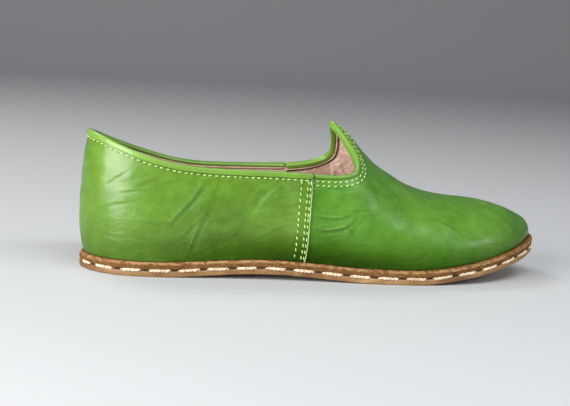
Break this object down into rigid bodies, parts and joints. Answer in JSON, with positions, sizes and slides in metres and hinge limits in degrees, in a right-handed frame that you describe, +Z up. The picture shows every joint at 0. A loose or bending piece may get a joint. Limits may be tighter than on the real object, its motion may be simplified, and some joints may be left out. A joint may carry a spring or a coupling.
{
  "type": "leather slip-on slipper",
  "caption": "Flat slip-on slipper in soft leather with a closed heel, a pointed peak over the instep and a hand-sewn leather sole, for the right foot.",
  "frame": {"origin": "on the floor, under the centre of the shoe's box", "axes": "+X from heel to toe, +Y towards the inner side of the foot, +Z up"},
  "size_m": [0.271, 0.0936, 0.0858],
  "materials": {
    "sole_leather": "smooth undyed sole leather, matt",
    "rand_leather": "rough suede-like leather edge",
    "insole_leather": "pinkish brown lining leather, matt",
    "upper_leather": "green glazed goatskin, semi-gloss",
    "binding_leather": "green leather strip, semi-gloss"
  },
  "bodies": {
    "root": {"outsole": "sole_leather", "rand": "rand_leather", "insole": "insole_leather", "upper": "upper_leather", "quarter_binding": "binding_leather", "throat_binding": "binding_leather"}
  },
  "joints": []
}
